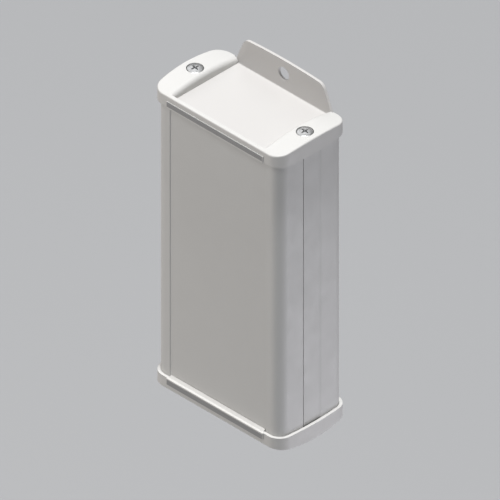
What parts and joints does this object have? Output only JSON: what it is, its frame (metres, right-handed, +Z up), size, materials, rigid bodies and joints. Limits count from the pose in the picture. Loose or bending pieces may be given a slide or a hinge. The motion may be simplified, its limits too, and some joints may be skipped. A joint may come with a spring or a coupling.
{
  "type": "wall-mount extruded enclosure",
  "caption": "Slim upright wall-mount electronics enclosure: extruded shell, moulded end caps with screws, and end panels with holed wall flanges.",
  "frame": {"origin": "midway between the two wall holes, on the wall plane (the flanges' back faces)", "axes": "+X to the right seen from the front, +Y into the wall, +Z up along the enclosure"},
  "size_m": [0.0732, 0.0399, 0.1648],
  "materials": {
    "profile_coating": "light grey powder coat, satin",
    "panel_coating": "light grey powder coat, satin",
    "cap_plastic": "light grey moulded plastic, fine texture",
    "trim_plastic": "mid-grey plastic",
    "gasket_rubber": "matt black",
    "seal_rubber": "matt black",
    "screw_steel": "zinc-plated steel"
  },
  "bodies": {
    "housing": {"housing_profile": "profile_coating", "flanged_panel_top": "panel_coating", "flanged_panel_bottom": "panel_coating", "gasket_top": "gasket_rubber", "gasket_bottom": "gasket_rubber"},
    "top_cap": {"end_cap_top": "cap_plastic", "trim_strip_top": "trim_plastic", "screw_seal_top_left": "seal_rubber", "screw_seal_top_right": "seal_rubber"},
    "bottom_cap": {"end_cap_bottom": "cap_plastic", "trim_strip_bottom": "trim_plastic", "screw_seal_bottom_left": "seal_rubber", "screw_seal_bottom_right": "seal_rubber"},
    "top_left_screw": {"cap_screw_top_left": "screw_steel"},
    "top_right_screw": {"cap_screw_top_right": "screw_steel"},
    "bottom_left_screw": {"cap_screw_bottom_left": "screw_steel"},
    "bottom_right_screw": {"cap_screw_bottom_right": "screw_steel"}
  },
  "joints": [
    {"name": "top_cap_slide", "type": "slide", "parent": "housing", "child": "top_cap", "axis": [0, 0, 1], "range_m": [0, 0.02]},
    {"name": "bottom_cap_slide", "type": "slide", "parent": "housing", "child": "bottom_cap", "axis": [0, 0, -1], "range_m": [0, 0.02]},
    {"name": "top_left_screw_turn", "type": "hinge", "parent": "top_cap", "child": "top_left_screw", "pos_m": [-0.0307, -0.02, 0.0728], "axis": [0, 0, 1], "continuous": true},
    {"name": "top_right_screw_turn", "type": "hinge", "parent": "top_cap", "child": "top_right_screw", "pos_m": [0.0307, -0.02, 0.0728], "axis": [0, 0, 1], "continuous": true},
    {"name": "bottom_left_screw_turn", "type": "hinge", "parent": "bottom_cap", "child": "bottom_left_screw", "pos_m": [-0.0307, -0.02, -0.0728], "axis": [0, 0, -1], "continuous": true},
    {"name": "bottom_right_screw_turn", "type": "hinge", "parent": "bottom_cap", "child": "bottom_right_screw", "pos_m": [0.0307, -0.02, -0.0728], "axis": [0, 0, -1], "continuous": true}
  ]
}
